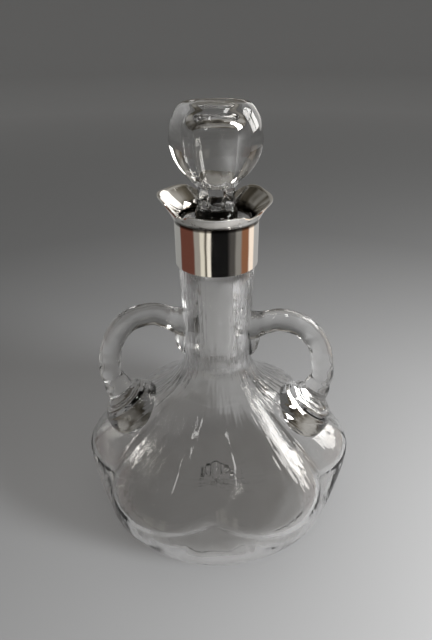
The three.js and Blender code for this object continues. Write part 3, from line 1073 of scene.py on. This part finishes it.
def plaster_material(name):
    material, nodes = new_material(name)
    grain = noise(nodes, object_place(nodes), *GRAIN_NOISE)
    shader = nodes.new("ShaderNodeBsdfPrincipled")
    link(blend(nodes, grain, PLASTER_DARK, PLASTER_LIGHT), shader.inputs["Base Color"])
    link(waves(nodes, product(nodes, grain, PLASTER_GRAIN)), shader.inputs["Normal"])
    shader.inputs["Roughness"].default_value = MATT
    show(nodes, shader)
    return material


clear_glass = glass_material("clear_glass")
silver = silver_material("polished_silver")
plaster = plaster_material("plaster")


def finish_piece(ob, material):
    ob.data.materials.clear()
    ob.data.materials.append(material)
    deselect_all()


glass_body = make_body()
finish_piece(glass_body, clear_glass)
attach(glass_body, "vessel")
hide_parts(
    "glass_vessel", "left_handle", "right_handle", "left_handle_pad", "right_handle_pad"
)

stopper = make_stopper()
finish_piece(stopper, clear_glass)
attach(stopper, "stopper")
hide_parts("stopper")

band = make_band()
finish_piece(band, silver)
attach(band, "vessel")
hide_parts("collar_band")

lip = make_lip()
finish_piece(lip, silver)
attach(lip, "vessel")
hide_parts("pouring_lip")

bed = make_plaster()
finish_piece(bed, plaster)
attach(bed, "vessel")
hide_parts("collar_plaster")

# Stage, in metres

FLOOR_DROP = 0.0002
WALL_DISTANCE = 7
WALL_HEIGHT = 5
SWEEP_RADIUS = 2.5
SWEEP_PULL = 1
# The floor's colour at shares of the way out, with painted shade half a metre out and painted light
# far away
FLOOR_RUN = 2
FLOOR_PAINTED_SHADING = (
    (0.1, (0.37, 0.37, 0.372)),
    (0.25, (0.30, 0.30, 0.30)),
    (1, (0.50, 0.50, 0.50)),
)
WORLD_COLOUR = (0.30, 0.297, 0.29)


def floor_material():
    """Grey paper with painted shade that darkens it half a metre out, and painted light that makes it
    a little lighter far away.
    """
    material, nodes = new_material("floor_paper_painted_shading")
    reach = distance_from_axis(nodes, split(nodes, object_place(nodes)))
    shader = nodes.new("ShaderNodeBsdfPrincipled")
    # Painted shade and light: the colour dips half a metre out and rises far away
    colour = ramp(nodes, ranged(nodes, reach, 0, FLOOR_RUN, 0, 1), FLOOR_PAINTED_SHADING)
    link(colour, shader.inputs["Base Color"])
    shader.inputs["Roughness"].default_value = MATT
    shader.inputs["Specular IOR Level"].default_value = 0
    show(nodes, shader)
    return material


def make_floor():
    """A flat floor that sweeps up into a wall all round."""
    sweep = bezier(
        Vector((WALL_DISTANCE - SWEEP_RADIUS, 0, -FLOOR_DROP)),
        Vector((WALL_DISTANCE - SWEEP_PULL, 0, 0)),
        Vector((WALL_DISTANCE, 0, SWEEP_PULL)),
        Vector((WALL_DISTANCE, 0, SWEEP_RADIUS)),
        20,
    )
    outline = chain(
        [Vector((0, 0, -FLOOR_DROP))], sweep, [Vector((WALL_DISTANCE, 0, WALL_HEIGHT))]
    )
    floor = turn("floor", outline, SMALL_STEPS)
    smooth_shade(floor, 60)
    floor.data.materials.append(floor_material())


def make_world():
    world = bpy.data.worlds.new("studio")
    scene.world = world
    world.use_nodes = True
    nodes = world.node_tree.nodes
    nodes.clear()
    back = nodes.new("ShaderNodeBackground")
    back.inputs["Color"].default_value = (*WORLD_COLOUR, 1)
    link(back.outputs[0], nodes.new("ShaderNodeOutputWorld").inputs[0])
    world.cycles.sampling_method = "MANUAL"
    world.cycles.sample_map_resolution = 64


def glow_material(name, colour, strength):
    material, nodes = new_material(name)
    glow = nodes.new("ShaderNodeEmission")
    glow.inputs["Color"].default_value = (*colour, 1)
    glow.inputs["Strength"].default_value = strength
    show(nodes, glow)
    return material


def only_in_reflections(ob, through_glass):
    ob.visible_camera = False
    ob.visible_diffuse = False
    ob.visible_shadow = False
    ob.visible_transmission = through_glass


DOME_RADIUS = 1.5
DOME_FOOT = 0.32
ROOM_PATCHES = (
    (0.38, (0.02, 0.018, 0.014)),
    (0.5, (0.085, 0.075, 0.058)),
    (0.62, (0.28, 0.27, 0.25)),
)
# From and to along an axis, and the light there
ROOM_BACKWARD = (-0.9, 0.3, 0.05, 1)
ROOM_RIGHTWARD = (-1.2, 1.2, 0.35, 1.5)


def dome_material():
    """A dim warm room: lighter patches over dark ones, and darkest above the camera."""
    material, nodes = new_material("dim_room")
    place = object_place(nodes)
    parts = split(nodes, place)
    backward = ranged(nodes, parts["Y"], *ROOM_BACKWARD)
    rightward = ranged(nodes, parts["X"], *ROOM_RIGHTWARD)
    glow = nodes.new("ShaderNodeEmission")
    link(ramp(nodes, noise(nodes, place, *ROOM_NOISE), ROOM_PATCHES), glow.inputs["Color"])
    link(product(nodes, backward, rightward), glow.inputs["Strength"])
    show(nodes, glow)
    return material


def make_dome():
    deselect_all()
    bpy.ops.mesh.primitive_uv_sphere_add(segments=48, ring_count=32, radius=DOME_RADIUS)
    dome = bpy.context.active_object
    dome.name = "dim_room"
    bpy.ops.object.mode_set(mode="EDIT")
    bpy.ops.mesh.select_all(action="SELECT")
    bpy.ops.mesh.bisect(
        plane_co=(0, 0, DOME_FOOT), plane_no=(0, 0, 1), clear_inner=True, clear_outer=False
    )
    bpy.ops.object.mode_set(mode="OBJECT")
    dome.data.materials.append(dome_material())
    only_in_reflections(dome, True)


# A low ring that only the silver and the gloss of the glass mirror: from and to in degrees
# round from the camera's side towards the right, and the colour there
RING = (
    (-180, -112, (0.30, 0.30, 0.29)),
    (-108, -62, (0.12, 0.045, 0.032)),
    (-58, -44, (0.30, 0.28, 0.25)),
    (-41, -32, (0.70, 0.66, 0.56)),
    (-28, -25, (0.10, 0.09, 0.07)),
    (-22, -14, (0.85, 0.80, 0.70)),
    (-12, 30, (0.006, 0.006, 0.006)),
    (40, 50, (0.07, 0.065, 0.06)),
    (56, 68, (0.24, 0.23, 0.21)),
    (74, 94, (0.24, 0.11, 0.06)),
    (100, 116, (1.0, 0.85, 0.72)),
    (122, 180, (0.42, 0.41, 0.40)),
)
RING_DISTANCE = 0.32
RING_TOP = 0.14


def ring_material():
    material, nodes = new_material("low_ring")
    parts = split(nodes, object_place(nodes))
    angle = value(nodes, "ARCTAN2", parts["X"], product(nodes, parts["Y"], -1))
    stops = [((at + 180) / 360, colour) for start, stop, colour in RING for at in (start, stop)]
    glow = nodes.new("ShaderNodeEmission")
    link(ramp(nodes, ranged(nodes, angle, -pi, pi, 0, 1), stops), glow.inputs["Color"])
    show(nodes, glow)
    return material


def make_ring():
    foot = Vector((RING_DISTANCE, 0, 0))
    top = Vector((RING_DISTANCE, 0, RING_TOP))
    ring = turn("low_ring", [foot, top], SMALL_STEPS)
    ring.data.materials.append(ring_material())
    only_in_reflections(ring, False)


def make_panel(name, middle, across, along, glow, through_glass):
    """A flat panel of light. The glow is its colour and its strength."""
    deselect_all()
    bpy.ops.mesh.primitive_plane_add(size=1, location=(0, 0, 0))
    panel = bpy.context.active_object
    panel.name = name
    press(panel, lambda co: middle + across * co.x + along * co.y)
    panel.data.materials.append(glow_material(name, *glow))
    only_in_reflections(panel, through_glass)


def facing(degrees):
    """Out from the axis, and level across that, at an angle round from the back to the right."""
    away = Vector((sin(radians(degrees)), cos(radians(degrees)), 0))
    return away, Vector((-away.y, away.x, 0))


# The window stands to the right and a little behind, in panes with bars between them
WINDOW_TURN = 65
WINDOW_DISTANCE = 1.0
WINDOW_WIDTH = 0.5
WINDOW_BOTTOM = 0.32
WINDOW_TOP = 1.05
WINDOW_BAR = 0.035
WINDOW_GLOW = ((1, 0.98, 0.95), 9)


def make_window():
    away, across = facing(WINDOW_TURN)
    width = (WINDOW_WIDTH - WINDOW_BAR) / 2
    height = (WINDOW_TOP - WINDOW_BOTTOM - WINDOW_BAR) / 2
    for column in (-1, 1):
        for row in (0, 1):
            beside = across * (column * (width + WINDOW_BAR) / 2)
            lift = Vector((0, 0, WINDOW_BOTTOM + row * (height + WINDOW_BAR) + height / 2))
            make_panel(
                f"window_pane_{column}_{row}",
                away * WINDOW_DISTANCE + beside + lift,
                across * width,
                Vector((0, 0, height)),
                WINDOW_GLOW,
                True,
            )


# A bright wall behind and to the right, which the silver mirrors
WALL_TURN = 30
WALL_AWAY = 1.2
WALL_WIDTH = 0.84
WALL_BOTTOM = 0.22
WALL_TOP = 1.1
WALL_GLOW = ((1, 0.98, 0.95), 1.5)


def make_bright_wall():
    away, across = facing(WALL_TURN)
    make_panel(
        "bright_wall",
        away * WALL_AWAY + Vector((0, 0, (WALL_BOTTOM + WALL_TOP) / 2)),
        across * WALL_WIDTH,
        Vector((0, 0, WALL_TOP - WALL_BOTTOM)),
        WALL_GLOW,
        False,
    )


# A bright strip overhead, which draws the streaks along the creases of the shoulder, and a
# short one to the left of the camera: each has its middle, its two sides, and its glow
CEILING_LAMP = (
    Vector((0.33, -0.12, 1.1)), Vector((0.16, 0, 0)), Vector((0, 0.5, 0)), ((1, 0.99, 0.97), 10)
)
SIDE_LAMP = (
    Vector((-0.24, -0.62, 0.97)),
    Vector((0.06, -0.023, 0)),
    Vector((0.05, 0.13, 0.09)),
    ((1, 0.99, 0.97), 7),
)

KEY_PLACE = (0.5, -0.3, 0.26)
KEY_SIZE = 0.08
KEY_WATTS = 30


def make_key():
    """A soft round lamp to the right, which lights the floor but isn't mirrored."""
    data = bpy.data.lights.new("key", "POINT")
    data.shadow_soft_size = KEY_SIZE
    data.energy = KEY_WATTS
    lamp = bpy.data.objects.new("key", data)
    scene.collection.objects.link(lamp)
    lamp.location = KEY_PLACE
    lamp.visible_camera = False
    lamp.visible_glossy = False
    lamp.visible_transmission = False


make_floor()
make_world()
make_dome()
make_ring()
make_window()
make_bright_wall()
make_panel("ceiling_lamp", *CEILING_LAMP, False)
make_panel("side_lamp", *SIDE_LAMP, False)
make_key()

GLASS_BOUNCES = 24
MIRROR_BOUNCES = 10

scene.view_settings.view_transform = "Standard"
scene.cycles.max_bounces = GLASS_BOUNCES
scene.cycles.transmission_bounces = GLASS_BOUNCES
scene.cycles.glossy_bounces = MIRROR_BOUNCES
scene.cycles.caustics_reflective = False
scene.cycles.caustics_refractive = False
